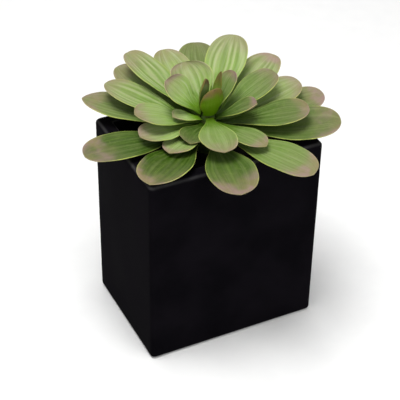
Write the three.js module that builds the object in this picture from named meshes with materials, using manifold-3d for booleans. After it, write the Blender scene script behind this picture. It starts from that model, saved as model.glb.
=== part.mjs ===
// A potted rosette succulent: a box-shaped pot, the potting mix in it, and a short stem
// that carries every leaf of the rosette. Millimetres, +Z up. The origin is the centre of
// the pot's underside, X runs along the pot's wide faces and Y from its front to its back.
import * as THREE from "three";
import { mergeVertices } from "three/addons/utils/BufferGeometryUtils.js";
import Module from "manifold-3d";

const wasm = await Module();
wasm.setup();

// Driving dimensions
const POT_WIDTH = 130;
const POT_DEPTH = 95;
const POT_HEIGHT = 150;
const POT_WALL = 10;
const POT_FLOOR = 12;
const POT_EDGE = 3; // rounding of the pot's outer edges
const SHARPEST_CORNER = 0.5; // least rounding of a block's upright corners
const CAVITY_CORNER = 2; // rounding of the cavity's upright corners
const SOIL_BELOW_RIM = 14;
const STEM_RADIUS = 8;
const STEM_TOP_RADIUS = 3;
const STEM_TAPER = 1.5; // above 1, the stem narrows mostly near its top
const STEM_IN_SOIL = 40;
const LEAF_LEVEL = -3; // lowest leaf's foot, from the rim
const LEVEL_PITCH = 2.2; // from one level of leaves to the next
const TOP_LEVEL = 8;
const STEM_ABOVE_TOP_LEVEL = 1.1;
const FOOT_THICKNESS = 1.7;
const BLADE_THICKNESS = 2.2; // a leaf at the middle of its blade
const MARGIN_THICKNESS = 0.7; // a leaf along its edges
const TIP_HALF_WIDTH = 0.5; // where a leaf ends
const GAP = 0.3; // clearance between pieces that touch
const OVERCUT = 1; // how far a cut runs past the face that it opens

const soilTop = POT_HEIGHT - SOIL_BELOW_RIM;
const firstFoot = POT_HEIGHT + LEAF_LEVEL;
const stemTop = firstFoot + TOP_LEVEL * LEVEL_PITCH + STEM_ABOVE_TOP_LEVEL;

const potBlack = { color: 0x121214, roughness: 0.45, metalness: 0 };
const soilBrown = { color: 0x17120f, roughness: 1, metalness: 0 };
const stemGreen = { color: 0x7c8f4e, roughness: 0.7, metalness: 0 };
const leafGreen = { color: 0x7fa45a, roughness: 0.55, metalness: 0 };

// One row a leaf: azimuth in degrees from +X, level on the stem, reach of the tip from the
// plant's axis, tip height above the rim, curl in degrees from foot to tip, width, the
// blade's twist in degrees, and how far its tip leans to one side. A twist above 0 lifts
// the leaf's left edge as seen from the stem, and a lean above 0 is to that side.
const LEAVES = {
  bud_leaf: [
    [-80, 8, 6, 36, 30, 20, 0, 0],
    [125, 8, 1.5, 40, 30, 14, 0, 0],
    [22, 8, 12, 41, 10, 8, 0, 0],
  ],
  inner_leaf: [
    [18, 7, 24, 37, 10, 16, 0, 0],
    [89, 6, 34, 36, 10, 30, -10, 3],
    [139, 7, 30, 34, 20, 29, -8, 0],
    [178, 6, 26, 17, 10, 16, 0, 0],
    [-33, 6, 33, 24, 10, 20, 0, 0],
    [-138, 5, 32, 8, -5, 22, 0, 0],
  ],
  middle_leaf: [
    [6, 5, 55, 29, 10, 27, 0, 0],
    [50, 4, 74, 35, 5, 30, 0, -1],
    [111, 5, 78, 30, 5, 24, 0, 0],
    [168, 5, 51, 20, 10, 29, 0, 0],
    [-107, 7, 48, 13, -15, 26, 0, 3],
    [-69, 5, 51, 9, -5, 21, 0, 2],
    [-28, 4, 69, 19, 10, 28, 10, 0],
    [-1, 3, 71, 21, 12, 28, 10, 0],
    [89, 3, 77, 23, 5, 28, 0, 0],
    [-177, 4, 52, 10, 5, 26, 0, 0],
    [135, 3, 76, 21, 8, 28, 0, 0],
    [-150, 2, 46, 6, 0, 23, 6, 0],
  ],
  outer_leaf: [
    [70, 1, 87, 20, 8, 32, 0, 0],
    [30, 2, 85, 20, 8, 30, 0, 0],
    [-30, 2, 91, 12, 12, 34, 14, 0],
    [-7, 1, 86, 13, 12, 28, 14, 0],
    [-63, 1, 89, 3, -8, 33, 0, -3],
    [-101, 0, 81, 2, -18, 34, 0, 0],
    [-145, 0, 78, 2, -12, 36, 6, 0],
    [-179, 1, 90, 2, -10, 33, -1, -4],
    [141, 2, 90, 12, 8, 30, 0, 0],
    [114, 1, 84, 18, 8, 30, 0, 0],
    [95, 0, 82, 5, -10, 30, 0, 0],
    [55, 0, 84, 5, -8, 32, 0, 0],
    [15, 0, 82, 3, -4, 30, 0, 0],
  ],
};
// What the leaves of a kind share: how far their edges stand up, as a share of their half
// width, how wide they leave the stem, and where along their length they are widest
const SHAPES = {
  bud_leaf: { cup: 0.3, footWidth: 8, widest: 0.42 },
  inner_leaf: { cup: 0.35, footWidth: 6, widest: 0.68 },
  middle_leaf: { cup: 0.2, footWidth: 6, widest: 0.68 },
  outer_leaf: { cup: 0.16, footWidth: 6, widest: 0.68 },
};

// A leaf's outline and section, as shares of its length, half width or thickness
const STATIONS = [0, 0.08, 0.2, 0.33, 0.46, 0.58, 0.68, 0.77, 0.85, 0.91, 0.96, 0.99, 1];
const ACROSS = [-1, -0.62, 0, 0.62, 1];
const NECK_END = 0.08; // where a leaf starts to widen
const TIP_FULLNESS = 2.6; // higher keeps the blade wide further towards its tip
const TIP_BLUNTNESS = 0.5; // lower is blunter
const THINNING_START = 0.7;
const TIP_THINNING = 0.45;
const LEAN_POWER = 3; // higher keeps a tip's lean nearer to the tip

// Steps on rounded shapes
const CORNER_STEPS = 4;
const EDGE_STEPS = 3;
const STEM_SIDES = 24;
const STEM_STEPS = 8;

const material = (look) => new THREE.MeshStandardMaterial(look);
const toRadians = THREE.MathUtils.degToRad;

// Booleans

function solidOf(geometry) {
  const bare = geometry.clone();
  bare.deleteAttribute("normal");
  bare.deleteAttribute("uv");
  const merged = mergeVertices(bare, 1e-4);
  const mesh = new wasm.Mesh({
    numProp: 3,
    vertProperties: new Float32Array(merged.attributes.position.array),
    triVerts: new Uint32Array(merged.index.array),
  });
  return new wasm.Manifold(mesh);
}

function geometryOf(solid) {
  const mesh = solid.getMesh();
  const geometry = new THREE.BufferGeometry();
  geometry.setAttribute("position", new THREE.BufferAttribute(mesh.vertProperties, 3));
  geometry.setIndex(new THREE.BufferAttribute(mesh.triVerts, 1));
  geometry.computeVertexNormals();
  return geometry;
}

// Pot and soil

function roundedRectangle(width, depth, corner) {
  const x = width / 2;
  const y = depth / 2;
  const shape = new THREE.Shape();
  shape.moveTo(-x + corner, -y);
  shape.lineTo(x - corner, -y);
  shape.absarc(x - corner, -y + corner, corner, -Math.PI / 2, 0);
  shape.lineTo(x, y - corner);
  shape.absarc(x - corner, y - corner, corner, 0, Math.PI / 2);
  shape.lineTo(-x + corner, y);
  shape.absarc(-x + corner, y - corner, corner, Math.PI / 2, Math.PI);
  shape.lineTo(-x, -y + corner);
  shape.absarc(-x + corner, -y + corner, corner, Math.PI, 1.5 * Math.PI);
  return shape;
}

// An upright block with rounded corners, from height low to height high. An edge above 0
// rounds its top and bottom edges too.
function block(width, depth, low, high, corner, edge = 0) {
  const inset = Math.max(corner - edge, SHARPEST_CORNER);
  const outline = roundedRectangle(width - 2 * edge, depth - 2 * edge, inset);
  const geometry = new THREE.ExtrudeGeometry(outline, {
    depth: high - low - 2 * edge,
    curveSegments: CORNER_STEPS,
    bevelEnabled: edge > 0,
    bevelSize: edge,
    bevelThickness: edge,
    bevelSegments: EDGE_STEPS,
  });
  return geometry.translate(0, 0, low + edge);
}

function potGeometry() {
  const outside = block(POT_WIDTH, POT_DEPTH, 0, POT_HEIGHT, POT_EDGE, POT_EDGE);
  const width = POT_WIDTH - 2 * POT_WALL;
  const depth = POT_DEPTH - 2 * POT_WALL;
  const cavity = block(width, depth, POT_FLOOR, POT_HEIGHT + OVERCUT, CAVITY_CORNER);
  return geometryOf(solidOf(outside).subtract(solidOf(cavity)));
}

function soilGeometry() {
  const width = POT_WIDTH - 2 * POT_WALL - 2 * GAP;
  const depth = POT_DEPTH - 2 * POT_WALL - 2 * GAP;
  const fill = block(width, depth, POT_FLOOR + GAP, soilTop, CAVITY_CORNER - GAP);
  const holeRadius = STEM_RADIUS + GAP;
  const holeHeight = STEM_IN_SOIL + GAP;
  const hole = new THREE.CylinderGeometry(holeRadius, holeRadius, 2 * holeHeight, STEM_SIDES);
  hole.rotateX(Math.PI / 2).translate(0, 0, soilTop);
  return geometryOf(solidOf(fill).subtract(solidOf(hole)));
}

// Stem

// The stem's radius at a height: straight up to the lowest leaf, then tapering to the bud.
function stemRadius(z) {
  const up = THREE.MathUtils.clamp((z - firstFoot) / (stemTop - firstFoot), 0, 1);
  return STEM_RADIUS + (STEM_TOP_RADIUS - STEM_RADIUS) * up ** STEM_TAPER;
}

function stemGeometry() {
  const profile = [new THREE.Vector2(0, soilTop - STEM_IN_SOIL)];
  profile.push(new THREE.Vector2(STEM_RADIUS, soilTop - STEM_IN_SOIL));
  for (let i = 0; i <= STEM_STEPS; i++) {
    const z = firstFoot + ((stemTop - firstFoot) * i) / STEM_STEPS;
    profile.push(new THREE.Vector2(stemRadius(z), z));
  }
  profile.push(new THREE.Vector2(0, stemTop));
  return new THREE.LatheGeometry(profile, STEM_SIDES).rotateX(Math.PI / 2);
}

// Leaves

// Half the width of a leaf at s, 0 at the foot and 1 at the tip.
function halfWidth(s, width, { footWidth, widest }) {
  const foot = footWidth / width;
  const v = (s - widest) / (1 - widest);
  const share = s < widest
    ? foot + (1 - foot) * THREE.MathUtils.smoothstep(s, NECK_END, widest)
    : (1 - v ** TIP_FULLNESS) ** TIP_BLUNTNESS;
  return Math.max((share * width) / 2, TIP_HALF_WIDTH);
}

function ribThickness(s) {
  const middle = FOOT_THICKNESS + (BLADE_THICKNESS - FOOT_THICKNESS) * Math.sin(Math.PI * s);
  return middle * (1 - TIP_THINNING * THREE.MathUtils.smoothstep(s, THINNING_START, 1));
}

// A closed leaf in its own frame: the foot at the origin, growing along +X, curling up
// towards +Z along an arc, its edges cupped upwards and its blade twisted.
function leafGeometry({ length, lift, curl, width, shape, twist, lean }) {
  const rings = STATIONS.map((s) => {
    const angle = lift + curl * s;
    const chord = length * s * chordShare(curl * s);
    const x = chord * Math.cos(lift + (curl * s) / 2);
    const z = chord * Math.sin(lift + (curl * s) / 2);
    const half = halfWidth(s, width, shape);
    const turn = twist * s;
    const point = (u, side) => {
      const skin = MARGIN_THICKNESS + (ribThickness(s) - MARGIN_THICKNESS) * (1 - u * u);
      const up = shape.cup * half * u * u + (side * skin) / 2;
      const sideways = u * half * Math.cos(turn) - up * Math.sin(turn);
      const raised = u * half * Math.sin(turn) + up * Math.cos(turn);
      return new THREE.Vector3(
        x - Math.sin(angle) * raised,
        sideways + lean * s ** LEAN_POWER,
        z + Math.cos(angle) * raised,
      );
    };
    return [...ACROSS.map((u) => point(u, 1)), ...ACROSS.toReversed().map((u) => point(u, -1))];
  });
  return loft(rings);
}

// How long the chord of an arc is, as a share of the arc, when the arc turns by an angle.
function chordShare(angle) {
  return angle === 0 ? 1 : Math.sin(angle / 2) / (angle / 2);
}

// A closed skin over rings that hold the same number of points each: one face of the leaf
// from edge to edge, then the other face back again.
function loft(rings) {
  const n = rings[0].length;
  const positions = rings.flat().flatMap((p) => [p.x, p.y, p.z]);
  const faces = [];
  for (let i = 0; i + 1 < rings.length; i++) {
    for (let j = 0; j < n; j++) {
      const a = i * n + j;
      const b = i * n + ((j + 1) % n);
      faces.push(a, a + n, b, b, a + n, b + n);
    }
  }
  const last = (rings.length - 1) * n;
  for (let j = 0; j + 1 < n / 2; j++) {
    const [a, b, c, d] = [j, j + 1, n - 2 - j, n - 1 - j];
    faces.push(a, b, c, a, c, d);
    faces.push(last + a, last + c, last + b, last + a, last + d, last + c);
  }
  const geometry = new THREE.BufferGeometry();
  geometry.setAttribute("position", new THREE.Float32BufferAttribute(positions, 3));
  geometry.setIndex(faces);
  geometry.computeVertexNormals();
  return geometry;
}

// How far a leaf has to climb from its foot to pass over the wall with its clearance.
function climbOverWall(azimuth, footZ, surface, run, curl) {
  const needed = POT_HEIGHT + GAP + BLADE_THICKNESS / 2 - footZ;
  const along = [POT_WALL, 0].map((inset) => {
    const toSide = (POT_WIDTH / 2 - inset) / Math.abs(Math.cos(azimuth));
    const toEnd = (POT_DEPTH / 2 - inset) / Math.abs(Math.sin(azimuth));
    return (Math.min(toSide, toEnd) - surface) / run;
  });
  const climbs = along
    .filter((share) => share > 0 && share < 1)
    .map((share) => needed / share + (curl * run * (1 - share)) / 2);
  return Math.max(...climbs, -Infinity);
}

// The arc from the foot to the tip, worked out from where both ends are. A leaf that would
// cut the pot's wall climbs until it clears it.
function leafMesh(name, shape, row) {
  const [azimuthDegrees, level, reach, rise, curlDegrees, width, twistDegrees, lean] = row;
  const azimuth = toRadians(azimuthDegrees);
  const footZ = firstFoot + level * LEVEL_PITCH;
  const surface = stemRadius(footZ) + GAP;
  const run = reach - surface;
  const curl = toRadians(curlDegrees);
  const wanted = POT_HEIGHT + rise - footZ;
  const climb = Math.max(wanted, climbOverWall(azimuth, footZ, surface, run, curl));
  const length = Math.hypot(run, climb) / chordShare(curl);
  const lift = Math.atan2(climb, run) - curl / 2;
  const twist = toRadians(twistDegrees);
  const mesh = new THREE.Mesh(
    leafGeometry({ length, lift, curl, width, shape, twist, lean }),
    material(leafGreen),
  );
  const footR = surface + (Math.abs(Math.sin(lift)) * FOOT_THICKNESS) / 2;
  mesh.name = name;
  mesh.position.set(footR * Math.cos(azimuth), footR * Math.sin(azimuth), footZ);
  mesh.rotation.z = azimuth;
  return mesh;
}

// Assembly

function named(name, geometry, look) {
  const mesh = new THREE.Mesh(geometry, material(look));
  mesh.name = name;
  return mesh;
}

const plant = new THREE.Group();
plant.add(named("stem", stemGeometry(), stemGreen));
for (const [kind, rows] of Object.entries(LEAVES)) {
  rows.forEach((row, i) => plant.add(leafMesh(`${kind}_${i + 1}`, SHAPES[kind], row)));
}

const pottedSucculent = new THREE.Group();
pottedSucculent.add(named("pot", potGeometry(), potBlack));
pottedSucculent.add(named("soil", soilGeometry(), soilBrown));
pottedSucculent.add(plant);

export default pottedSucculent;
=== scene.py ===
"""The looks of a potted rosette succulent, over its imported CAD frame.

Metres, +Z up. The origin is the centre of the pot's underside, X runs along the pot's wide
faces and Y from its front to its back.
"""
import math

import bpy
import numpy as np
from mathutils import Euler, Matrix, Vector, noise


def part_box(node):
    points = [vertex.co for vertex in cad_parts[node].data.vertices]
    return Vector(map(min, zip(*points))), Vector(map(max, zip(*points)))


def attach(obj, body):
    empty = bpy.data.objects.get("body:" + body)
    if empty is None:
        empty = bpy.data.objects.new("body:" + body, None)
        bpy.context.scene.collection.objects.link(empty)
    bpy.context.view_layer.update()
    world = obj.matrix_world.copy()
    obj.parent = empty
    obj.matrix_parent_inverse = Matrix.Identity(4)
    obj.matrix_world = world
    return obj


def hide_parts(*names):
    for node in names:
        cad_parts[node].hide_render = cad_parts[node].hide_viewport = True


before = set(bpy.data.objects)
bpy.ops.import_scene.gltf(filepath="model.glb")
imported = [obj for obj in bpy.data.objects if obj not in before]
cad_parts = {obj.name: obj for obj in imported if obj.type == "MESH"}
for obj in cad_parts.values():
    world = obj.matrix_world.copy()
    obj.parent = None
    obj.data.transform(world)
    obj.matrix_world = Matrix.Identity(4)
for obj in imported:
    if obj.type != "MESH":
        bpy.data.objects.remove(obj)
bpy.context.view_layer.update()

MM = 0.001
pot_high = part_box("pot")[1]
soil_low, soil_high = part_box("soil")
stem_low, stem_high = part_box("stem")
POT_HEIGHT = pot_high[2]
SOIL_TOP = soil_high[2]
STEM_TOP = stem_high[2]

# The pot
POT_WALL = 10 * MM
POT_FLOOR = 12 * MM
POT_EDGE = 3 * MM
INNER_EDGE = 1.6 * MM
CAVITY_CORNER = 2 * MM
CAVITY_FILLET = 2 * MM
POT_UNEVENNESS = 0.12 * MM
UNEVENNESS_SCALE = 30
# The pot's rounded edges are painted lighter, partly with wear and partly with a painted highlight, most
# half way round each rounding; the values below shape both.
WEAR_AND_HIGHLIGHT_SHARPNESS = 4  # higher keeps the wear closer to the middle of an edge
FOOT_WEAR_AND_HIGHLIGHT = 0.6
INNER_WEAR_AND_HIGHLIGHT = 0.8
# The rings that close the pot's underside and its floor, as shares of its outside
UNDERSIDE_SHARES = (0.04, 0.35, 0.7)
FLOOR_SHARES = (0.5, 0.04)

# The soil and the stem
STEM_RADIUS = 8 * MM
STEM_TOP_RADIUS = 3 * MM
STEM_TAPER = 1.5
STEM_SCAR = 0.35 * MM
SCAR_SHARPNESS = 3
SCAR_LEAST = 0.6
SCAR_SCALE = 200
HOLE_CLEARANCE = 0.3 * MM
STEM_HOLE = STEM_RADIUS + HOLE_CLEARANCE
HOLE_FLOOR = stem_low[2] - HOLE_CLEARANCE
SOIL_CORNER = 1.7 * MM
SOIL_RELIEF = 1.6 * MM
LUMPS_SCALE = 90
GRAINS_SCALE = 420
LUMPS_SHARE = 0.6
# The rings that close the stem's hole and the soil's underside, as shares of their outlines
HOLE_CENTRE = 0.1
SOIL_CENTRE = 0.05
CRUMBS = 420
CRUMB_SIZES = (0.7 * MM, 1.9 * MM)
CRUMB_SQUASHES = (0.5, 0.8)
CRUMB_SINK = 0.3
CRUMB_LUMPINESS = 0.35
CRUMB_SCALE = 900
CRUMB_LUMPS = 1.5

# The leaves: the CAD leaves' arcs and sections. The bud's feet are wider here, and each tip
# has a pointedness of its own.
LEAF_LEVEL = -3 * MM
LEVEL_PITCH = 2.2 * MM
FIRST_FOOT = POT_HEIGHT + LEAF_LEVEL
FOOT_THICKNESS = 1.7 * MM
BLADE_THICKNESS = 2.2 * MM
MARGIN_THICKNESS = 0.7 * MM
TIP_HALF_WIDTH = 0.5 * MM
GAP = 0.3 * MM
NECK_END = 0.08
WIDEST_FOOT = 0.7
TIP_FULLNESS = 2.6
THINNING_START = 0.7
TIP_THINNING = 0.45
LEAN_POWER = 3
# What the leaves of a kind share: how far their edges stand up, as a share of their half
# width, how wide they leave the stem, and where along their length they are widest
SHAPES = {
    "bud_leaf": (0.3, 13 * MM, 0.42),
    "inner_leaf": (0.35, 6 * MM, 0.68),
    "middle_leaf": (0.2, 6 * MM, 0.68),
    "outer_leaf": (0.16, 6 * MM, 0.68),
}

# What a leaf's skin adds to the CAD shape. A rise or fall is where along the leaf it takes
# place, from 0 at the foot to 1 at the tip. Waves, swells and drifts are counted along the
# leaf, and then across its half width.
BLADE_RISE = (0.25, 0.6)
BLADE_FALL = (0.86, 1)
EDGE_WAVE = 0.7 * MM
EDGE_ROLL = 0.5 * MM
EDGE_WAVES = (5, 7)
SWELL = 0.5 * MM
SWELLS = (4, 1.2)
RIDGE_RISE = (0.12, 0.4)
RIDGE_FALL = (0.8, 1)
RIDGE_HEIGHT = 0.25 * MM
RIDGES = 5.5
RIDGE_DRIFT = 2
DRIFTS = (1.5, 1.5)
MIDRIB_DEPTH = 0.25 * MM
MIDRIB_SPREAD = 0.09
RIM_WIDTH = 0.55 * MM
RIM_RISE = (0.1, 0.4)
RIM_ON_TOP = 0.35

# One row a leaf. The first eight values place it: azimuth in degrees, level on the stem,
# reach and rise of the tip in mm, curl in degrees, width in mm, twist in degrees and lean in
# mm. The last four finish it: how pale it is, partly its own tone and partly painted light
# and shade, how strongly its tip is flushed, how clearly its blade is striped, and how
# pointed its tip is.
LEAVES = {
    "bud_leaf": [
        (-80, 8, 6, 36, 30, 20, 0, 0, 0.1, 1.0, 0.1, 0.5),
        (125, 8, 1.5, 40, 30, 14, 0, 0, 1.0, 1.0, 0.1, 0.7),
        (22, 8, 12, 41, 10, 8, 0, 0, 0.2, 0.7, 0.1, 0.7),
    ],
    "inner_leaf": [
        (18, 7, 24, 37, 10, 16, 0, 0, 0.45, 0.9, 0.2, 0.5),
        (89, 6, 34, 36, 10, 30, -10, 3, 1.0, 0.6, 0.6, 0.5),
        (139, 7, 30, 34, 20, 29, -8, 0, 0.95, 0.8, 0.2, 0.5),
        (178, 6, 26, 17, 10, 16, 0, 0, 1.0, 0.5, 0.2, 0.5),
        (-33, 6, 33, 24, 10, 20, 0, 0, 0.18, 0.8, 0.2, 0.5),
        (-138, 5, 32, 8, -5, 22, 0, 0, 0.12, 0.2, 0.1, 0.5),
    ],
    "middle_leaf": [
        (6, 5, 55, 29, 10, 27, 0, 0, 0.38, 0.6, 0.3, 0.45),
        (50, 4, 74, 35, 5, 30, 0, -1, 0.85, 0.4, 1.0, 0.55),
        (111, 5, 78, 30, 5, 24, 0, 0, 0.78, 0.6, 0.9, 0.42),
        (168, 5, 51, 20, 10, 29, 0, 0, 0.75, 0.7, 0.2, 0.5),
        (-107, 7, 48, 13, -15, 26, 0, 3, 0.52, 0.7, 0.2, 0.45),
        (-69, 5, 51, 9, -5, 21, 0, 2, 0.42, 0.7, 0.2, 0.7),
        (-28, 4, 69, 19, 10, 28, 10, 0, 0.22, 0.8, 0.2, 0.5),
        (-1, 3, 71, 21, 12, 28, 10, 0, 0.8, 0.6, 0.2, 0.5),
        (89, 3, 77, 23, 5, 28, 0, 0, 1.0, 0.7, 0.3, 0.55),
        (-177, 4, 52, 10, 5, 26, 0, 0, 1.0, 0.8, 0.2, 0.5),
        (135, 3, 76, 21, 8, 28, 0, 0, 0.78, 0.6, 0.8, 0.6),
        (-150, 2, 46, 6, 0, 23, 6, 0, 0.77, 1.0, 0.1, 0.6),
    ],
    "outer_leaf": [
        (70, 1, 87, 20, 8, 32, 0, 0, 0.41, 0.2, 0.3, 0.5),
        (30, 2, 85, 20, 8, 30, 0, 0, 0.82, 0.8, 0.8, 0.5),
        (-30, 2, 91, 12, 12, 34, 14, 0, 0.22, 0.7, 0.2, 0.5),
        (-7, 1, 86, 13, 12, 28, 14, 0, 0.36, 0.8, 0.2, 0.5),
        (-63, 1, 89, 3, -8, 33, 0, -3, 0.48, 0.8, 0.2, 0.42),
        (-101, 0, 81, 2, -18, 34, 0, 0, 0.1, 0.7, 0.2, 0.42),
        (-145, 0, 78, 2, -12, 36, 6, 0, 0.0, 0.9, 0.2, 0.5),
        (-179, 1, 90, 2, -10, 33, -1, -4, 0.04, 0.8, 0.2, 0.42),
        (141, 2, 90, 12, 8, 30, 0, 0, 0.4, 0.8, 0.3, 0.75),
        (114, 1, 84, 18, 8, 30, 0, 0, 0.7, 0.6, 0.3, 0.5),
        (95, 0, 82, 5, -10, 30, 0, 0, 0.35, 0.6, 0.2, 0.5),
        (55, 0, 84, 5, -8, 32, 0, 0, 0.35, 0.6, 0.2, 0.5),
        (15, 0, 82, 3, -4, 30, 0, 0, 0.35, 0.6, 0.2, 0.5),
    ],
}

# Steps on the meshes
LEAF_ALONG = 46
LEAF_ACROSS = 41
MARGIN_STEPS = 3
CORNER_STEPS = 8
SIDE_STEPS = 22
ROUNDING_STEPS = 6
STEM_SIDES = 48
STEM_RINGS = 90
SOIL_RINGS = 34
SOIL_SIDE_RINGS = 8
SOIL_EDGE_DENSITY = 0.8  # below 1, the soil's rings lie closer together towards its edge
WALL_RINGS = 40
CRUMB_RINGS = 5
CRUMB_SIDES = 8
FLOOR_STEPS = 41
TIP_DENSITY = 1.7  # above 1, a leaf's rings lie closer together towards its tip
MARGIN_DENSITY = 0.4  # above 0, a ring's points lie closer together towards the margins
SEED_STEP = 7.31  # between the noise of one leaf and of the next

# The stage
FLOOR_HALF = 4.0
AIM = Vector((-0.005, 0, 0.61 * POT_HEIGHT))
CAMERA_AZIMUTH = -26.6
CAMERA_ELEVATION = 36.2
CAMERA_ROLL = 0.95
CAMERA_DISTANCE = 0.9
CAMERA_LENS = 113.1
SKY_STRENGTH = 0.43
# Each softbox's name, place, size and watts
SOFTBOXES = [
    ("overhead", (-0.2, -0.05, 1.25), 0.6, 13),
    ("front", (0.3, -1.3, 0.7), 0.7, 6),
    ("back", (0.1, 1.2, 0.9), 0.7, 2),
]

rng = np.random.default_rng(11)


# Node graphs

NOISE_MIDDLE = (0.3, 0.7)


class Graph:
    """A material's nodes. An input is a socket to link, or a value to set."""

    def __init__(self, name):
        self.material = bpy.data.materials.new(name)
        self.material.use_nodes = True
        self.tree = self.material.node_tree
        self.shader = self.tree.nodes["Principled BSDF"]

    def feed(self, socket, value):
        if isinstance(value, bpy.types.NodeSocket):
            self.tree.links.new(value, socket)
        else:
            socket.default_value = value

    def add(self, kind, inputs, **settings):
        node = self.tree.nodes.new(kind)
        for key, value in settings.items():
            setattr(node, key, value)
        for key, value in inputs.items():
            self.feed(node.inputs[key], value)
        return node

    def attribute(self, name):
        return self.add("ShaderNodeAttribute", {}, attribute_name=name).outputs["Fac"]

    def math(self, operation, a, b=0.0, clamp=False):
        node = self.add("ShaderNodeMath", {0: a, 1: b}, operation=operation, use_clamp=clamp)
        return node.outputs[0]

    def map(self, value, low, high, to_low=0.0, to_high=1.0):
        """A smooth step that goes from to_low to to_high while the value goes from low to high."""
        inputs = {"Value": value, "From Min": low, "From Max": high, "To Min": to_low, "To Max": to_high}
        node = self.add("ShaderNodeMapRange", inputs, interpolation_type="SMOOTHSTEP")
        return node.outputs["Result"]

    def between(self, value, low=0.0, high=1.0):
        """The middle of a noise's range, spread from low to high."""
        return self.map(value, *NOISE_MIDDLE, low, high)

    def mix(self, factor, a, b):
        node = self.tree.nodes.new("ShaderNodeMix")
        node.data_type = "RGBA"
        for key, value in {0: factor, 6: a, 7: b}.items():
            self.feed(node.inputs[key], value)
        return node.outputs[2]

    def place(self):
        return self.add("ShaderNodeTexCoord", {}).outputs["Object"]

    def combine(self, x, y, z):
        return self.add("ShaderNodeCombineXYZ", {"X": x, "Y": y, "Z": z}).outputs[0]

    def noise(self, vector, scale, detail=4.0, roughness=0.55):
        inputs = {"Vector": vector, "Scale": scale, "Detail": detail, "Roughness": roughness}
        return self.add("ShaderNodeTexNoise", inputs).outputs["Fac"]

    def ramp(self, value, stops):
        node = self.add("ShaderNodeValToRGB", {"Fac": value})
        elements = node.color_ramp.elements
        while len(elements) < len(stops):
            elements.new(1.0)
        for element, (position, tint) in zip(elements, stops):
            element.position = position
            element.color = tint
        return node.outputs["Color"]

    def bump(self, height, distance, strength=1.0):
        inputs = {"Height": height, "Distance": distance, "Strength": strength}
        return self.add("ShaderNodeBump", inputs).outputs["Normal"]

    def finish(self, **inputs):
        for key, value in inputs.items():
            self.feed(self.shader.inputs[key.replace("_", " ")], value)
        return self.material


def colour(red, green, blue):
    """A colour named by its display values from 0 to 255, as the shader wants it."""
    def linear(value):
        share = value / 255
        return share / 12.92 if share <= 0.04045 else ((share + 0.055) / 1.055) ** 2.4
    return (linear(red), linear(green), linear(blue), 1.0)


# Materials

# Leaf greens from foot to tip, a darker ramp and a lighter one. The darker foot is partly the leaf's own
# deep green and partly painted shade where the leaves crowd round the stem.
DARK_STOPS = [
    (0.0, colour(18, 36, 0)),
    (0.25, colour(30, 52, 2)),
    (0.55, colour(42, 68, 5)),
    (0.95, colour(76, 88, 42)),
]
LIGHT_STOPS = [
    (0.0, colour(74, 106, 14)),
    (0.25, colour(98, 138, 24)),
    (0.55, colour(142, 168, 90)),
    (0.95, colour(138, 146, 96)),
]
BUD_STOPS = [(0.0, colour(62, 104, 0)), (0.4, colour(86, 120, 0)), (0.95, colour(92, 104, 8))]
BLOOM = colour(156, 180, 92)
# Whitish green that the streaks of pale leaves take, partly a frosty bloom and partly a painted sheen
FROST_AND_SHEEN = colour(192, 202, 170)
STRIPE_GREEN = colour(184, 186, 148)
BETWEEN_STRIPES = colour(84, 112, 40)
VEIN_GREEN = colour(40, 64, 8)
MAUVE = colour(154, 122, 122)
TAN = colour(136, 120, 90)
# The pale line along a leaf's margin, partly its own paler edge and partly a painted highlight where the
# edge catches the light, strongest on the edge and underside
RIM_GREEN = colour(188, 198, 104)
UNDERSIDE_GREEN = colour(92, 118, 48)
BUD_GREEN = colour(84, 122, 0)
BUD_TIP = colour(108, 82, 60)
BUD_TAN = colour(108, 94, 46)
# The bud's margin line, partly its own colour and partly a painted highlight
BUD_RIM = colour(112, 112, 36)
POT_BLACK = colour(10, 9, 12)
POT_CHARCOAL = colour(17, 15, 19)
POT_SPECK = colour(26, 25, 27)
# The grey of the pot's edges, partly wear and partly a painted highlight
POT_WEAR_AND_HIGHLIGHT = colour(62, 61, 62)
SOIL_DAMP = colour(14, 12, 12)
SOIL_BROWN = colour(30, 25, 22)
SOIL_PALE = colour(58, 46, 38)
STEM_DARK_GREEN = colour(44, 70, 6)
STEM_GREEN = colour(62, 90, 10)
SCAR_BROWN = colour(84, 72, 36)
FLOOR_GREY = colour(240, 240, 240)
FLOOR_WHITE = colour(246, 246, 245)

# How light spreads under the skin of leaves and stem: each colour's share of the depth
FLESH_SHARES = (0.6, 1.0, 0.3)
FLESH_DEPTH = 1.5 * MM

# How fine each noise is, in cells a metre
LEAF_MOTTLE_SCALE = 95.0
LEAF_DUST_SCALE = 420.0
LEAF_PATCH_SCALE = 55.0
POT_CLOUD_SCALE = 22.0
POT_GRAIN_SCALE = 1400.0
POT_SPECK_SCALE = 520.0
SOIL_GRAIN_SCALE = 700.0
SOIL_PATCH_SCALE = 120.0
STEM_PATCH_SCALE = 260.0
FLOOR_GRAIN_SCALE = 60.0


# A leaf's markings. Streaks and veins are counted over its half width and its length, a
# strength is a share of the marking's colour, and a rise is where along the leaf it starts
# and is full, from 0 at the foot to 1 at the tip.
STREAKS_ACROSS = 9.0
STREAKS_ALONG = 1.3
VEINS_ACROSS = 44.0
VEINS_ALONG = 3.0
CLEARNESS_IN_DARK = 0.4  # how clearly the darkest leaf is marked; the palest has 1
WANDER = 0.09
STREAK_STRENGTH = 0.34
STREAK_RISE = (0.1, 0.5)
STRIPE_STRENGTH = 0.5
VEIN_STRENGTH = 0.16
DUST_STRENGTH = 0.18
UNDERSIDE_STRENGTH = 0.6
FLUSH_ON_MARGIN = 0.1
FLUSH_SPREAD = 0.28
FLUSH_STRENGTH = 0.9
RIM_STRENGTHS = (0.3, 0.8)
RIM_FLUSH_RISE = (0.75, 1.0)
RIM_FLUSH = 0.6
LEAF_FLUSH_START = 0.78
BUD_FLUSH_START = 0.62


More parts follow.
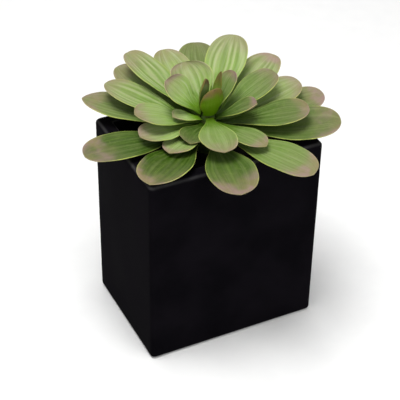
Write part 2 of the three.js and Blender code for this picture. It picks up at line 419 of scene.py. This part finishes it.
def leaf_noise(g, across_scale, along_scale, detail, roughness):
    """Noise drawn out along a leaf, different for each seed."""
    across = g.math("MULTIPLY", g.attribute("across"), across_scale)
    along = g.math("MULTIPLY", g.attribute("along"), along_scale)
    return g.noise(g.combine(across, along, g.attribute("seed")), 1.0, detail, roughness)


def marked(g, skin, pale_and_lit, dust, veins):
    """The skin with its streaks, stripes, veins and dusty bloom. On pale leaves the streaks turn
    whitish, partly bloom and partly a painted sheen.
    """
    clearness = g.math("ADD", g.math("MULTIPLY", pale_and_lit, 1 - CLEARNESS_IN_DARK), CLEARNESS_IN_DARK)
    streaks = leaf_noise(g, STREAKS_ACROSS, STREAKS_ALONG, 5.0, 0.6)
    streaks = g.map(streaks, 0.42, 0.72, 0.0, STREAK_STRENGTH)
    streaks = g.math("MULTIPLY", streaks, g.map(g.attribute("along"), *STREAK_RISE))
    # Painted sheen: on pale leaves the streaks whiten over the bloom
    skin = g.mix(g.math("MULTIPLY", streaks, clearness), skin, g.mix(pale_and_lit, BLOOM, FROST_AND_SHEEN))
    stripe = g.math("MULTIPLY", g.attribute("stripe"), clearness)
    skin = g.mix(g.math("MULTIPLY", stripe, STRIPE_STRENGTH, clamp=True), skin, STRIPE_GREEN)
    skin = g.mix(g.math("MULTIPLY", stripe, -STRIPE_STRENGTH, clamp=True), skin, BETWEEN_STRIPES)
    veined = g.math("MULTIPLY", g.map(veins, 0.4, 0.75, 0.0, VEIN_STRENGTH), clearness)
    skin = g.mix(veined, skin, VEIN_GREEN)
    dusted = g.math("MULTIPLY", g.map(dust, 0.45, 0.75, 0.0, DUST_STRENGTH), clearness)
    return g.mix(dusted, skin, BLOOM)


def flushed(g, skin, mottle, flush_colours, flush_start):
    """The skin flushed in patches at the leaf's tip, and a little before it at the margins."""
    margin = g.math("POWER", g.math("ABSOLUTE", g.attribute("across")), 3.0)
    reach = g.math("ADD", g.attribute("along"), g.math("MULTIPLY", margin, FLUSH_ON_MARGIN))
    reach = g.math("ADD", reach, g.between(g.noise(g.place(), LEAF_PATCH_SCALE, 3.0), -WANDER, WANDER))
    blush = g.map(reach, flush_start, flush_start + FLUSH_SPREAD, 0.0, FLUSH_STRENGTH)
    blush = g.math("MULTIPLY", blush, g.attribute("flush"))
    return g.mix(blush, skin, g.mix(g.map(mottle, 0.4, 0.6), *flush_colours))


def leaf_material(name, dark_stops, light_stops, flush_colours, flush_start, underside, edging):
    """A leaf's skin: darker at its foot, partly as painted shade, bloomed and streaked, flushed towards
    its tip. Its paleness, partly painted light and shade, blends a darker ramp with a lighter one.
    """
    g = Graph(name)
    along = g.attribute("along")
    pale_and_lit = g.attribute("pale_and_lit")
    mottle = g.noise(g.place(), LEAF_MOTTLE_SCALE, 5.0)
    dust = g.noise(g.place(), LEAF_DUST_SCALE, 6.0, 0.6)
    veins = leaf_noise(g, VEINS_ACROSS, VEINS_ALONG, 3.0, 0.55)
    wandering = g.math("ADD", along, g.between(mottle, -WANDER, WANDER))
    # Painted light and shade: each leaf's paleness lightens or darkens the whole leaf, and the ramps
    # darken its foot
    skin = g.mix(pale_and_lit, g.ramp(wandering, dark_stops), g.ramp(wandering, light_stops))
    skin = marked(g, skin, pale_and_lit, dust, veins)
    skin = g.mix(g.math("MULTIPLY", g.attribute("under"), UNDERSIDE_STRENGTH), skin, underside)
    skin = flushed(g, skin, mottle, flush_colours, flush_start)
    # Painted highlight along the margin, over its own paler edge
    rim = g.math("MULTIPLY", g.attribute("rim"), g.map(mottle, 0.35, 0.6, *RIM_STRENGTHS))
    edging = g.mix(g.map(along, *RIM_FLUSH_RISE, 0.0, RIM_FLUSH), edging, flush_colours[0])
    skin = g.mix(rim, skin, edging)
    height = g.math("ADD", g.math("MULTIPLY", veins, 0.6), g.math("MULTIPLY", dust, 0.4))
    return g.finish(
        Base_Color=skin,
        Roughness=g.between(dust, 0.4, 0.56),
        Normal=g.bump(height, 0.25 * MM, 0.5),
        Specular_IOR_Level=0.08,
        Subsurface_Weight=0.06,
        Subsurface_Radius=FLESH_SHARES,
        Subsurface_Scale=FLESH_DEPTH,
    )


def pot_material():
    """Satin black ceramic, lighter along its rim and foot, partly from a little wear and partly from a
    painted highlight.
    """
    g = Graph("pot_black")
    place = g.place()
    cloud = g.noise(place, POT_CLOUD_SCALE, 4.0)
    grain = g.noise(place, POT_GRAIN_SCALE, 3.0)
    specks = g.noise(place, POT_SPECK_SCALE, 6.0, 0.7)
    edge = g.attribute("edge")
    skin = g.mix(g.between(cloud), POT_BLACK, POT_CHARCOAL)
    skin = g.mix(g.map(specks, 0.6, 0.75, 0.0, 0.25), skin, POT_SPECK)
    # Painted highlight along the rounded edges, mottled like wear
    wear_and_highlight = g.math("MULTIPLY", edge, g.map(cloud, 0.35, 0.62, 0.4, 0.9))
    skin = g.mix(wear_and_highlight, skin, POT_WEAR_AND_HIGHLIGHT)
    height = g.math("ADD", g.math("MULTIPLY", grain, 0.3), g.math("MULTIPLY", cloud, 0.7))
    return g.finish(
        Base_Color=skin,
        Roughness=g.between(cloud, 0.4, 0.55),
        Normal=g.bump(height, 0.3 * MM, 0.35),
        Specular_IOR_Level=0.0015,
    )


def soil_material():
    """Damp potting mix, near black, with paler grains."""
    g = Graph("soil_dark")
    place = g.place()
    grains = g.noise(place, SOIL_GRAIN_SCALE, 6.0, 0.7)
    patches = g.noise(place, SOIL_PATCH_SCALE, 4.0)
    skin = g.mix(g.between(patches), SOIL_DAMP, SOIL_BROWN)
    skin = g.mix(g.map(grains, 0.6, 0.7, 0.0, 0.6), skin, SOIL_PALE)
    return g.finish(
        Base_Color=skin,
        Roughness=g.between(grains, 0.8, 1.0),
        Normal=g.bump(grains, 0.6 * MM, 0.8),
        Specular_IOR_Level=0.15,
    )


def stem_material():
    """A fleshy stem, green where the leaves leave it and browner at their scars."""
    g = Graph("stem_green")
    place = g.place()
    patches = g.noise(place, STEM_PATCH_SCALE, 5.0)
    scar = g.attribute("scar")
    skin = g.mix(g.between(patches), STEM_DARK_GREEN, STEM_GREEN)
    skin = g.mix(scar, skin, SCAR_BROWN)
    return g.finish(
        Base_Color=skin,
        Roughness=g.between(patches, 0.55, 0.75),
        Normal=g.bump(patches, 0.3 * MM, 0.5),
        Subsurface_Weight=0.1,
        Subsurface_Radius=FLESH_SHARES,
        Subsurface_Scale=FLESH_DEPTH,
    )


def floor_material():
    g = Graph("floor_pale")
    grain = g.noise(g.place(), FLOOR_GRAIN_SCALE, 3.0)
    return g.finish(
        Base_Color=g.mix(grain, FLOOR_GREY, FLOOR_WHITE),
        Roughness=g.between(grain, 0.85, 0.95),
        Specular_IOR_Level=0.1,
    )


# Meshes

def make_object(name, points, faces, material, attributes):
    mesh = bpy.data.meshes.new(name)
    mesh.from_pydata([tuple(point) for point in points], [], faces)
    for key, values in attributes.items():
        layer = mesh.attributes.new(key, "FLOAT", "POINT")
        layer.data.foreach_set("value", np.asarray(values, dtype=np.float32))
    mesh.materials.append(material)
    mesh.shade_smooth()
    made = bpy.data.objects.new(name, mesh)
    bpy.context.scene.collection.objects.link(made)
    return made


def stand_for(piece, node):
    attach(piece, "root")
    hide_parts(node)


def tube_faces(rings, sides):
    """The quads between rings of as many points each, every ring closed."""
    faces = []
    for i in range(rings - 1):
        for j in range(sides):
            a = i * sides + j
            b = i * sides + (j + 1) % sides
            faces.append((a, b, b + sides, a + sides))
    return faces


def smoothstep(value, low, high):
    share = np.clip((value - low) / (high - low), 0, 1)
    return share * share * (3 - 2 * share)


# Leaves

def stem_radius(z):
    up = min(max((z - FIRST_FOOT) / (STEM_TOP - FIRST_FOOT), 0), 1)
    return STEM_RADIUS + (STEM_TOP_RADIUS - STEM_RADIUS) * up ** STEM_TAPER


def chord_share(angle):
    """How long the chord of an arc is, as a share of the arc."""
    half = np.asarray(angle, dtype=float) / 2
    return np.sinc(half / math.pi)


def climb_over_wall(azimuth, foot_z, surface, run, curl):
    """How far a leaf has to climb from its foot to pass over the pot's wall."""
    needed = POT_HEIGHT + GAP + BLADE_THICKNESS / 2 - foot_z
    climbs = [-math.inf]
    for inset in (POT_WALL, 0):
        to_side = (pot_high[0] - inset) / abs(math.cos(azimuth))
        to_end = (pot_high[1] - inset) / abs(math.sin(azimuth))
        share = (min(to_side, to_end) - surface) / run
        if 0 < share < 1:
            climbs.append(needed / share + curl * run * (1 - share) / 2)
    return max(climbs)


def half_width(s, width, foot_width, widest, tip):
    """Half the width of a leaf at s, 0 at the foot and 1 at the tip."""
    foot = min(foot_width / width, WIDEST_FOOT)
    v = np.clip((s - widest) / (1 - widest), 0, 1)
    widening = foot + (1 - foot) * smoothstep(s, NECK_END, widest)
    closing = (1 - v ** TIP_FULLNESS) ** tip
    share = np.where(s < widest, widening, closing)
    return np.maximum(share * width / 2, TIP_HALF_WIDTH)


def rib_thickness(s):
    middle = FOOT_THICKNESS + (BLADE_THICKNESS - FOOT_THICKNESS) * np.sin(math.pi * s)
    return middle * (1 - TIP_THINNING * smoothstep(s, THINNING_START, 1))


def leaf_section():
    """A ring round a leaf's section, as shares: across, of the skin's half thickness, and of
    the margin's rounding."""
    t = np.linspace(-1, 1, LEAF_ACROSS)
    u = (1 - MARGIN_DENSITY) * t + MARGIN_DENSITY * np.sin(math.pi * t / 2)
    turns = np.linspace(math.pi / 2, -math.pi / 2, MARGIN_STEPS + 2)[1:-1]
    faces = np.ones_like(u)
    edge = np.ones_like(turns)
    across = np.concatenate([u, edge, u[::-1], -edge])
    side = np.concatenate([faces, np.sin(turns), -faces, -np.sin(turns)])
    rounding = np.concatenate([0 * u, np.cos(turns), 0 * u, -np.cos(turns)])
    return across, side, rounding


def leaf_arc(row):
    """Where a leaf's foot is, and the arc from there to its tip."""
    azimuth_degrees, level, reach, rise, curl_degrees = row[:5]
    azimuth = math.radians(azimuth_degrees)
    curl = math.radians(curl_degrees)
    foot_z = FIRST_FOOT + level * LEVEL_PITCH
    surface = stem_radius(foot_z) + GAP
    run = reach * MM - surface
    wanted = POT_HEIGHT + rise * MM - foot_z
    climb = max(wanted, climb_over_wall(azimuth, foot_z, surface, run, curl))
    length = math.hypot(run, climb) / chord_share(curl)
    lift = math.atan2(climb, run) - curl / 2
    foot_r = surface + abs(math.sin(lift)) * FOOT_THICKNESS / 2
    foot = Vector((foot_r * math.cos(azimuth), foot_r * math.sin(azimuth), foot_z))
    return azimuth, foot, length, lift, curl


def soft_noise(along, across, seed):
    """Smooth noise over a grid of places on a leaf, from -1 to 1."""
    return np.array([[noise.noise(Vector((a, c, seed))) for c in across] for a in along])


def fade(along, rise, fall):
    """0 at a leaf's foot, 1 over its blade and 0 again at its tip."""
    return smoothstep(along, *rise) * (1 - smoothstep(along, *fall))


def leaf_relief(s, across, seed, stripes):
    """Where a leaf has its full blade, how its edge wanders and its face swells, its ridges
    and the groove along its midrib."""
    along = s[:, None]
    blade = fade(along, BLADE_RISE, BLADE_FALL)
    wave = 0.5 + 0.5 * soft_noise(EDGE_WAVES[0] * s, EDGE_WAVES[1] * np.sign(across), seed)
    swell = soft_noise(SWELLS[0] * s, SWELLS[1] * across, seed + 0.5)
    window = fade(along, RIDGE_RISE, RIDGE_FALL) * (1 - across ** 4)
    drift = soft_noise(DRIFTS[0] * s, DRIFTS[1] * across, seed + 0.25)
    ridge = np.cos(math.pi * (RIDGES * across + RIDGE_DRIFT * drift)) * window * stripes
    groove = np.exp(-(across / MIDRIB_SPREAD) ** 2) * window
    return blade, wave * blade, swell * blade, ridge, groove


def bend_leaf(row, along, sideways, up):
    """Lay a flat leaf along its arc, with its twist and lean."""
    azimuth, foot, length, lift, curl = leaf_arc(row)
    turn = math.radians(row[6]) * along
    lean = row[7] * MM
    raised = sideways * np.sin(turn) + up * np.cos(turn)
    left = sideways * np.cos(turn) - up * np.sin(turn) + lean * along ** LEAN_POWER
    angle = lift + curl * along
    chord = length * along * chord_share(curl * along)
    x = chord * np.cos(lift + curl * along / 2) - np.sin(angle) * raised
    z = chord * np.sin(lift + curl * along / 2) + np.cos(angle) * raised
    points = np.stack([
        foot.x + x * math.cos(azimuth) - left * math.sin(azimuth),
        foot.y + x * math.sin(azimuth) + left * math.cos(azimuth),
        foot.z + z,
    ], axis=-1)
    return points.reshape(-1, 3)


def leaf_skin(row, shape, seed, stripes, tip):
    """A leaf's points, ring by ring, and what its material reads at each of them."""
    cup, foot_width, widest = shape
    across, side, rounding = leaf_section()
    s = 1 - (1 - np.linspace(0, 1, LEAF_ALONG)) ** TIP_DENSITY
    along = s[:, None]
    blade, wave, swell, ridge, groove = leaf_relief(s, across, seed, stripes)

    margin = MARGIN_THICKNESS / 2
    outline = half_width(along, row[5] * MM, foot_width, widest, tip)
    half = np.maximum(outline - EDGE_WAVE * wave, TIP_HALF_WIDTH)
    skin = MARGIN_THICKNESS + (rib_thickness(along) - MARGIN_THICKNESS) * (1 - across ** 2)
    relief = np.where(side > 0, RIDGE_HEIGHT * (ridge - stripes) - MIDRIB_DEPTH * groove, 0)
    roll = EDGE_ROLL * (wave - 0.5) * across ** 4 * blade
    up = cup * half * across ** 2 + side * skin / 2 + relief + roll + SWELL * swell
    sideways = across * (half - margin) + rounding * margin

    length = leaf_arc(row)[2]
    from_margin = np.minimum(half * (1 - np.abs(across)), length * (1 - along))
    rim = np.clip(1 - from_margin / RIM_WIDTH, 0, 1) * smoothstep(along, *RIM_RISE)
    rim = rim * np.where(side == 1, RIM_ON_TOP, 1)
    everywhere = np.ones_like(half * across)
    reads = {
        "along": along * everywhere,
        "across": across * everywhere,
        "rim": rim,
        "under": np.where(side < 0, 1.0, 0.0) * everywhere,
        "stripe": ridge * everywhere,
        "seed": seed * everywhere,
    }
    points = bend_leaf(row, along, sideways, up)
    return points, {key: values.ravel() for key, values in reads.items()}


def leaf_faces():
    """Quads over a leaf's rings, with a strip across its foot and another across its tip."""
    sides = 2 * (LEAF_ACROSS + MARGIN_STEPS)
    faces = tube_faces(LEAF_ALONG, sides)
    last = (LEAF_ALONG - 1) * sides
    start = sides - MARGIN_STEPS // 2 - 1
    order = list(range(start, sides)) + list(range(start))
    half = sides // 2
    for k in range(half - 1):
        a, b, c, d = order[k], order[k + 1], order[sides - 2 - k], order[sides - 1 - k]
        faces.append((d, c, b, a))
        faces.append((last + a, last + b, last + c, last + d))
    return faces


def make_leaves():
    """One skin for each leaf. Those of the bud have a material of their own."""
    tips = (MAUVE, TAN)
    green = leaf_material(
        "leaf_skin", DARK_STOPS, LIGHT_STOPS, tips, LEAF_FLUSH_START, UNDERSIDE_GREEN, RIM_GREEN
    )
    tips = (BUD_TIP, BUD_TAN)
    bud = leaf_material(
        "bud_skin", BUD_STOPS, LIGHT_STOPS, tips, BUD_FLUSH_START, BUD_GREEN, BUD_RIM
    )
    faces = leaf_faces()
    seed = 0.0
    for kind, rows in LEAVES.items():
        of_bud = kind == "bud_leaf"
        for i, row in enumerate(rows):
            seed += SEED_STEP
            pale_and_lit, flush, stripes, tip = row[8:]
            points, reads = leaf_skin(row[:8], SHAPES[kind], seed, stripes, tip)
            # Paleness, partly the leaf's own tone and partly painted light and shade
            reads["pale_and_lit"] = np.full(len(points), pale_and_lit)
            reads["flush"] = np.full(len(points), flush)
            node = f"{kind}_{i + 1}"
            skin = bud if of_bud else green
            piece = make_object(f"{node}_skin", points, faces, skin, reads)
            stand_for(piece, node)


# Pot

QUADRANTS = [(1, -1), (1, 1), (-1, 1), (-1, -1)]


def rounded_ring(half_x, half_y, corner):
    """Points round a rectangle with rounded corners, counterclockwise from above."""
    points = []
    corner = min(corner, half_x, half_y)
    inner_x = half_x - corner
    inner_y = half_y - corner
    quarter = math.pi / 2
    for k, (side_x, side_y) in enumerate(QUADRANTS):
        start = (k - 1) * quarter
        for step in range(CORNER_STEPS + 1):
            turn = start + quarter * step / CORNER_STEPS
            x = side_x * inner_x + corner * math.cos(turn)
            y = side_y * inner_y + corner * math.sin(turn)
            points.append((x, y))
        next_side_x, next_side_y = QUADRANTS[(k + 1) % len(QUADRANTS)]
        next_x = next_side_x * inner_x + corner * math.cos(start + quarter)
        next_y = next_side_y * inner_y + corner * math.sin(start + quarter)
        for step in range(1, SIDE_STEPS):
            share = step / SIDE_STEPS
            points.append((x + (next_x - x) * share, y + (next_y - y) * share))
    return points


def wear_and_highlight_at(turn):
    """How much wear and painted highlight a rounded edge gets, greatest half way round its quarter turn.
    """
    return abs(math.sin(2 * turn)) ** WEAR_AND_HIGHLIGHT_SHARPNESS


def pot_profile():
    """Rings of the pot from under its middle, up outside, over the rim and down inside:
    half sizes along X and Y, corner, height, and how much wear and painted highlight the
    ring gets."""
    rings = []
    wide, deep = pot_high[0], pot_high[1]

    def ring(inset, z, corner, wear_and_highlight=0.0):
        rings.append((wide - inset, deep - inset, corner, z, wear_and_highlight))

    for share in UNDERSIDE_SHARES:
        rings.append((wide * share, deep * share, POT_EDGE * share, 0, 0.0))
    turns = np.linspace(0, math.pi / 2, ROUNDING_STEPS + 1)
    for turn in turns:
        inset = POT_EDGE * (1 - math.sin(turn))
        ring(inset, POT_EDGE * (1 - math.cos(turn)), POT_EDGE, wear_and_highlight_at(turn) * FOOT_WEAR_AND_HIGHLIGHT)
    for z in np.linspace(POT_EDGE, POT_HEIGHT - POT_EDGE, WALL_RINGS)[1:-1]:
        ring(0, z, POT_EDGE)
    for turn in turns:
        z = POT_HEIGHT - POT_EDGE * (1 - math.sin(turn))
        ring(POT_EDGE * (1 - math.cos(turn)), z, POT_EDGE, wear_and_highlight_at(turn))
    for turn in turns:
        inset = POT_WALL - INNER_EDGE * (1 - math.sin(turn))
        z = POT_HEIGHT - INNER_EDGE * (1 - math.cos(turn))
        ring(inset, z, CAVITY_CORNER, wear_and_highlight_at(turn) * INNER_WEAR_AND_HIGHLIGHT)
    for z in np.linspace(POT_HEIGHT - INNER_EDGE, POT_FLOOR + CAVITY_FILLET, WALL_RINGS // 2)[1:-1]:
        ring(POT_WALL, z, CAVITY_CORNER)
    for turn in turns:
        inset = POT_WALL + CAVITY_FILLET * (1 - math.cos(turn))
        ring(inset, POT_FLOOR + CAVITY_FILLET * (1 - math.sin(turn)), CAVITY_CORNER)
    for share in FLOOR_SHARES:
        rings.append((wide * share, deep * share, CAVITY_CORNER * share, POT_FLOOR, 0.0))
    return rings


def make_pot():
    """The pot, its outside a little uneven."""
    points = []
    wear_and_highlight = []
    for half_x, half_y, corner, z, worn_and_lit in pot_profile():
        outside = half_x > pot_high[0] - POT_EDGE
        for x, y in rounded_ring(half_x, half_y, corner):
            bulge = 0.5 + 0.5 * noise.noise(Vector((x, y, z)) * UNEVENNESS_SCALE)
            inward = POT_UNEVENNESS * bulge if outside else 0
            points.append((x - math.copysign(inward, x), y - math.copysign(inward, y), z))
            wear_and_highlight.append(worn_and_lit)
    sides = 4 * (CORNER_STEPS + SIDE_STEPS)
    faces = tube_faces(len(points) // sides, sides)
    faces.append(tuple(reversed(range(sides))))
    faces.append(tuple(range(len(points) - sides, len(points))))
    pot = make_object("pot_shell", points, faces, pot_material(), {"edge": wear_and_highlight})
    stand_for(pot, "pot")


# Soil

def soil_relief(x, y):
    """How far the soil lies below its highest, rougher in places."""
    lumps = noise.noise(Vector((x, y, 0)) * LUMPS_SCALE)
    grains = noise.noise(Vector((x, y, 3)) * GRAINS_SCALE)
    return SOIL_RELIEF * (0.5 + 0.5 * (LUMPS_SHARE * lumps + (1 - LUMPS_SHARE) * grains))


def make_soil():
    """The mix, from the floor of the stem's hole up over its top and down under it."""
    wide, deep = soil_high[0], soil_high[1]
    outline = rounded_ring(wide, deep, SOIL_CORNER)
    turns = [math.atan2(y, x) for x, y in outline]
    hole = [(STEM_HOLE * math.cos(turn), STEM_HOLE * math.sin(turn)) for turn in turns]
    rings = [
        [(x * HOLE_CENTRE, y * HOLE_CENTRE, HOLE_FLOOR) for x, y in hole],
        [(x, y, HOLE_FLOOR) for x, y in hole],
    ]
    for k in range(SOIL_RINGS + 1):
        share = (k / SOIL_RINGS) ** SOIL_EDGE_DENSITY
        flat = [(a + (c - a) * share, b + (d - b) * share) for (a, b), (c, d) in zip(hole, outline)]
        rings.append([(x, y, SOIL_TOP - soil_relief(x, y)) for x, y in flat])
    low = soil_low[2]
    for z in np.linspace(SOIL_TOP - 2 * SOIL_RELIEF, low + SOIL_CORNER, SOIL_SIDE_RINGS):
        rings.append([(x, y, z) for x, y in outline])
    for turn in np.linspace(0, math.pi / 2, ROUNDING_STEPS + 1)[1:]:
        inset = SOIL_CORNER * (1 - math.cos(turn))
        z = low + SOIL_CORNER * (1 - math.sin(turn))
        rings.append([(x, y, z) for x, y in rounded_ring(wide - inset, deep - inset, SOIL_CORNER)])
    rings.append([(x * SOIL_CENTRE, y * SOIL_CENTRE, low) for x, y in outline])
    sides = len(outline)
    points = [point for ring in rings for point in ring]
    faces = tube_faces(len(rings), sides)
    faces.append(tuple(reversed(range(sides))))
    faces.append(tuple(range(len(points) - sides, len(points))))
    for _ in range(CRUMBS):
        add_crumb(points, faces, wide, deep)
    soil = make_object("soil_mix", points, faces, soil_material(), {})
    stand_for(soil, "soil")


def add_crumb(points, faces, wide, deep):
    """One lumpy crumb, part sunk in the soil."""
    size = rng.uniform(*CRUMB_SIZES)
    room = 2 * size
    x = rng.uniform(-1, 1) * (wide - room)
    y = rng.uniform(-1, 1) * (deep - room)
    squash = rng.uniform(*CRUMB_SQUASHES)
    if math.hypot(x, y) < STEM_HOLE + room:
        return
    centre = Vector((x, y, SOIL_TOP - soil_relief(x, y) - CRUMB_SINK * size))
    first = len(points)
    for k in range(CRUMB_RINGS):
        polar = math.pi * (k + 0.5) / CRUMB_RINGS
        around = math.sin(polar)
        for j in range(CRUMB_SIDES):
            turn = 2 * math.pi * j / CRUMB_SIDES
            out = Vector((around * math.cos(turn), around * math.sin(turn), -math.cos(polar)))
            bulge = noise.noise(centre * CRUMB_SCALE + out * CRUMB_LUMPS)
            radius = size * (1 + CRUMB_LUMPINESS * bulge)
            points.append((
                centre.x + out.x * radius,
                centre.y + out.y * radius,
                centre.z + out.z * radius * squash,
            ))
    faces.extend(tuple(first + i for i in face) for face in tube_faces(CRUMB_RINGS, CRUMB_SIDES))
    faces.append(tuple(reversed(range(first, first + CRUMB_SIDES))))
    faces.append(tuple(range(len(points) - CRUMB_SIDES, len(points))))


# Stem

def make_stem():
    """A lathed stem, dented where old leaves were."""
    points = []
    scars = []
    heights = np.linspace(stem_low[2], STEM_TOP, STEM_RINGS)
    for z in heights:
        radius = stem_radius(z)
        for j in range(STEM_SIDES):
            turn = 2 * math.pi * j / STEM_SIDES
            band = math.sin(2 * math.pi * (z / (2 * LEVEL_PITCH)) + 2 * turn)
            depth = noise.noise(Vector((turn, z * SCAR_SCALE, 1)))
            scar = max(band, 0) ** SCAR_SHARPNESS * (SCAR_LEAST + (1 - SCAR_LEAST) * depth)
            r = radius - STEM_SCAR * scar
            points.append((r * math.cos(turn), r * math.sin(turn), z))
            scars.append(min(max(scar, 0), 1))
    faces = tube_faces(STEM_RINGS, STEM_SIDES)
    faces.append(tuple(reversed(range(STEM_SIDES))))
    faces.append(tuple(range(len(points) - STEM_SIDES, len(points))))
    stem = make_object("stem_skin", points, faces, stem_material(), {"scar": scars})
    stand_for(stem, "stem")


# Stage

def make_floor():
    """A flat sheet, wide enough to fill the picture."""
    steps = np.linspace(-FLOOR_HALF, FLOOR_HALF, FLOOR_STEPS)
    points = [(x, y, 0) for y in steps for x in steps]
    faces = []
    for j in range(FLOOR_STEPS - 1):
        for i in range(FLOOR_STEPS - 1):
            a = j * FLOOR_STEPS + i
            faces.append((a, a + 1, a + FLOOR_STEPS + 1, a + FLOOR_STEPS))
    make_object("floor", points, faces, floor_material(), {})


def make_softbox(name, place, size, watts):
    """A square area light that faces the plant."""
    light = bpy.data.lights.new(name, "AREA")
    light.shape = "SQUARE"
    light.size = size
    light.energy = watts
    box = bpy.data.objects.new(name, light)
    box.location = place
    box.rotation_euler = (AIM - Vector(place)).to_track_quat("-Z", "Y").to_euler()
    bpy.context.scene.collection.objects.link(box)


def make_lights():
    for name, place, size, watts in SOFTBOXES:
        make_softbox(name, place, size, watts)
    world = bpy.data.worlds.new("studio")
    world.use_nodes = True
    sky = world.node_tree.nodes["Background"].inputs
    sky["Color"].default_value = (1, 1, 1, 1)
    sky["Strength"].default_value = SKY_STRENGTH
    bpy.context.scene.world = world
    bpy.context.scene.view_settings.view_transform = "Standard"


def make_camera():
    azimuth = math.radians(CAMERA_AZIMUTH)
    elevation = math.radians(CAMERA_ELEVATION)
    back = Vector((
        math.sin(azimuth) * math.cos(elevation),
        -math.cos(azimuth) * math.cos(elevation),
        math.sin(elevation),
    ))
    data = bpy.data.cameras.new("camera")
    data.lens = CAMERA_LENS
    camera = bpy.data.objects.new("camera", data)
    camera.location = AIM + CAMERA_DISTANCE * back
    level = (-back).to_track_quat("-Z", "Y")
    roll = Euler((0, 0, math.radians(CAMERA_ROLL))).to_quaternion()
    camera.rotation_euler = (level @ roll).to_euler()
    bpy.context.scene.collection.objects.link(camera)
    bpy.context.scene.camera = camera


make_camera()
make_lights()
make_floor()
make_pot()
make_soil()
make_stem()
make_leaves()
